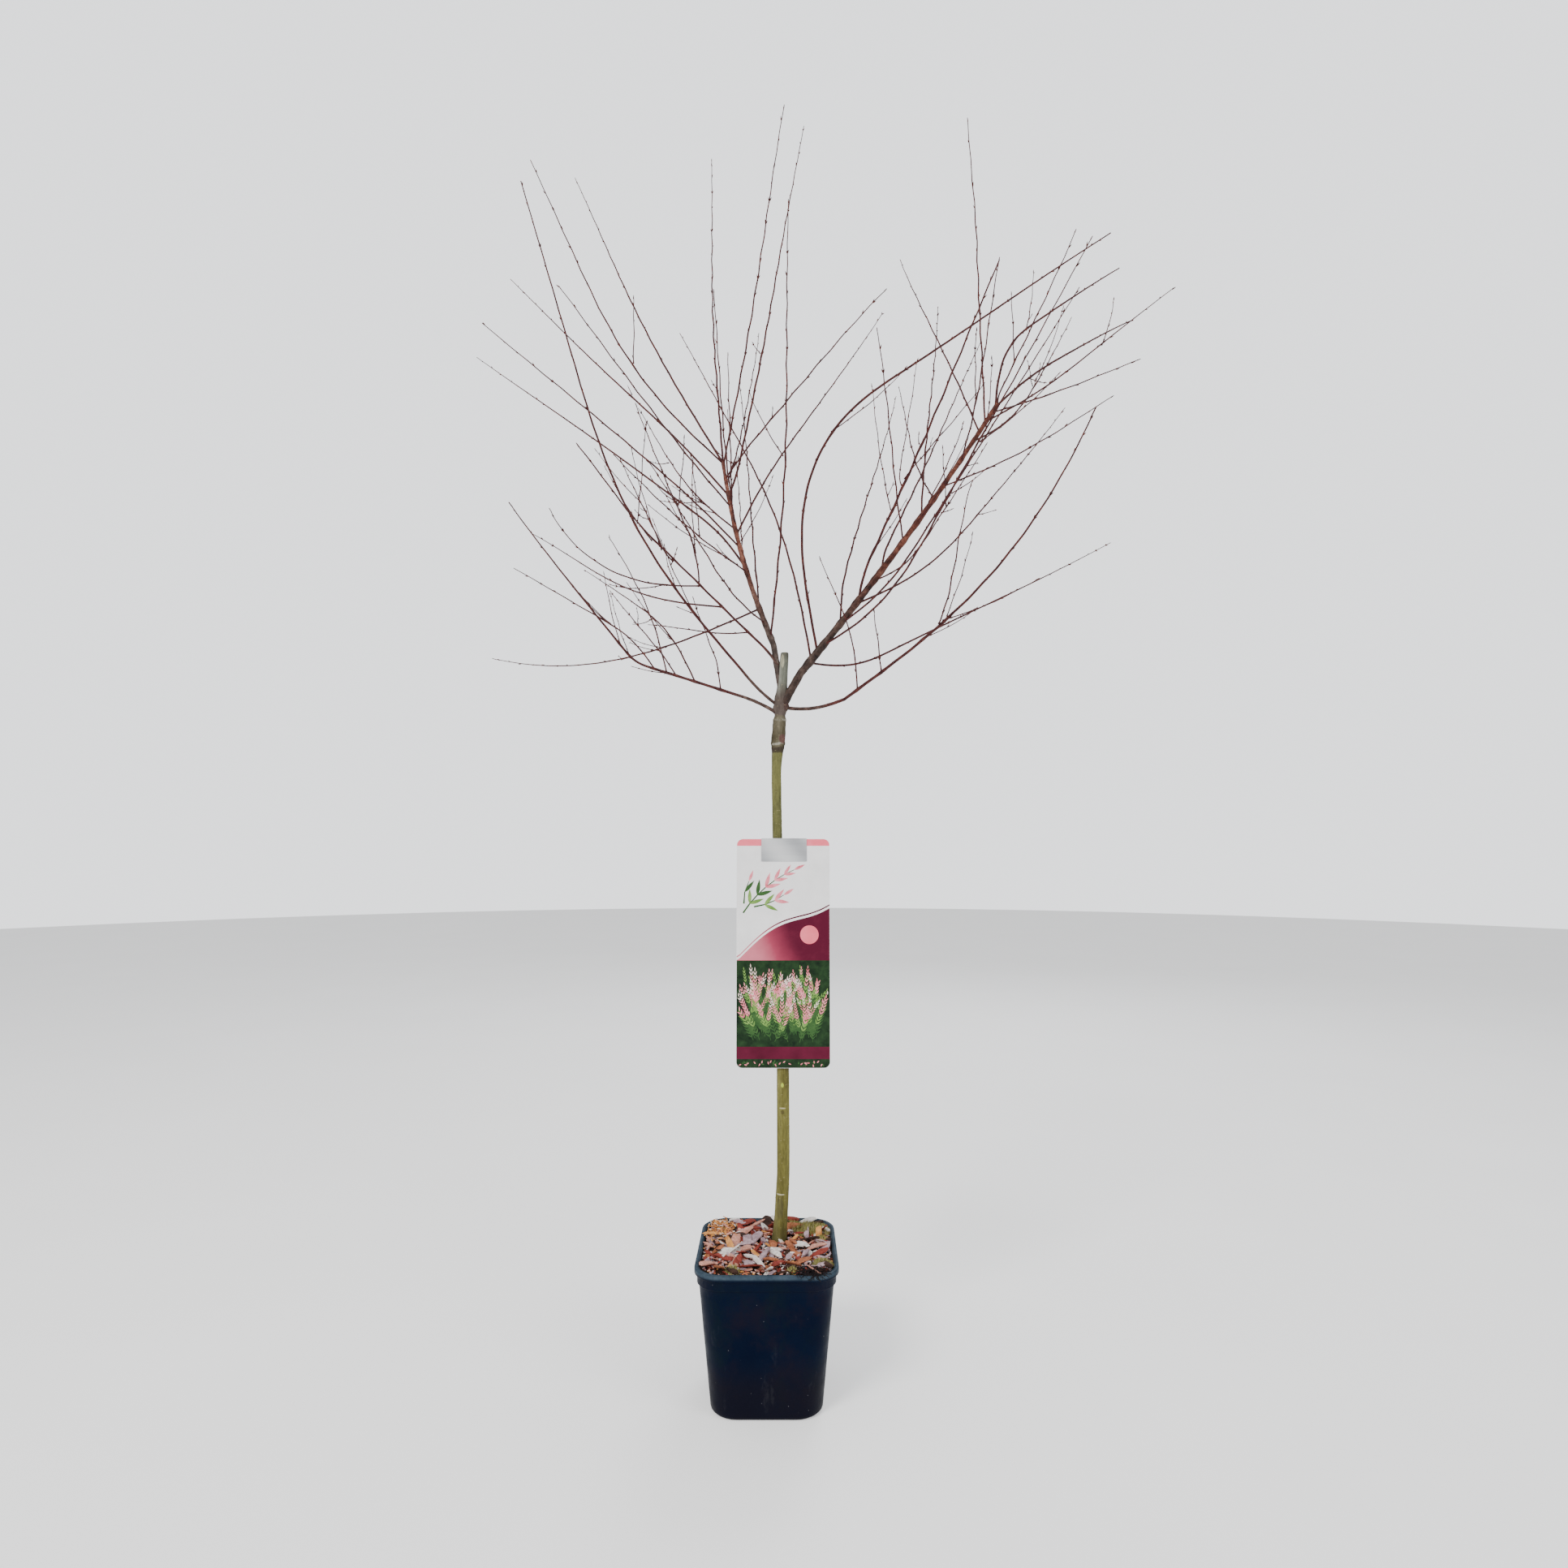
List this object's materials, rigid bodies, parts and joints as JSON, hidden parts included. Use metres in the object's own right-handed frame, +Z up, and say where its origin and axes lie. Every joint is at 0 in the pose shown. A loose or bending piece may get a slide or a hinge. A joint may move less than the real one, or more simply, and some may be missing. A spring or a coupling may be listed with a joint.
{
  "type": "potted dappled willow",
  "caption": "Leafless grafted standard shrub with upright twiggy crown, slim straight stem and hanging label, in a square nursery pot topped with bark mulch.",
  "frame": {"origin": "centre of the flat underside of the pot", "axes": "+Z up along the stem, +X to the viewer's right, +Y away from the side that shows the label"},
  "size_m": [1.0747, 0.5499, 1.7855],
  "materials": {
    "pot": "black moulded pot plastic, dusty",
    "potting_mix": "dark moist potting mix",
    "bark_mulch": "red-brown bark chips with some moss",
    "stem_bark": "olive-grey bark with scars and pores",
    "bough_bark": "grey-brown young bark",
    "twigs": "dark red-brown smooth twigs with buds",
    "label": "smooth printed plastic card",
    "clip": "satin sheet",
    "tie": "dark plastic band"
  },
  "bodies": {
    "root": {"pot": "pot", "potting_mix": "potting_mix", "bark_mulch": "bark_mulch", "stem": "stem_bark", "left_bough": "bough_bark", "upper_left_bough": "bough_bark", "right_bough": "bough_bark", "low_right_bough": "bough_bark", "long_left_bough": "bough_bark", "low_left_bough": "bough_bark", "left_twigs": "twigs", "upper_left_twigs": "twigs", "long_left_twigs": "twigs", "low_left_twigs": "twigs", "right_twigs": "twigs", "low_right_twigs": "twigs", "plant_label": "label", "label_clip": "clip", "label_tie": "tie"}
  },
  "joints": []
}
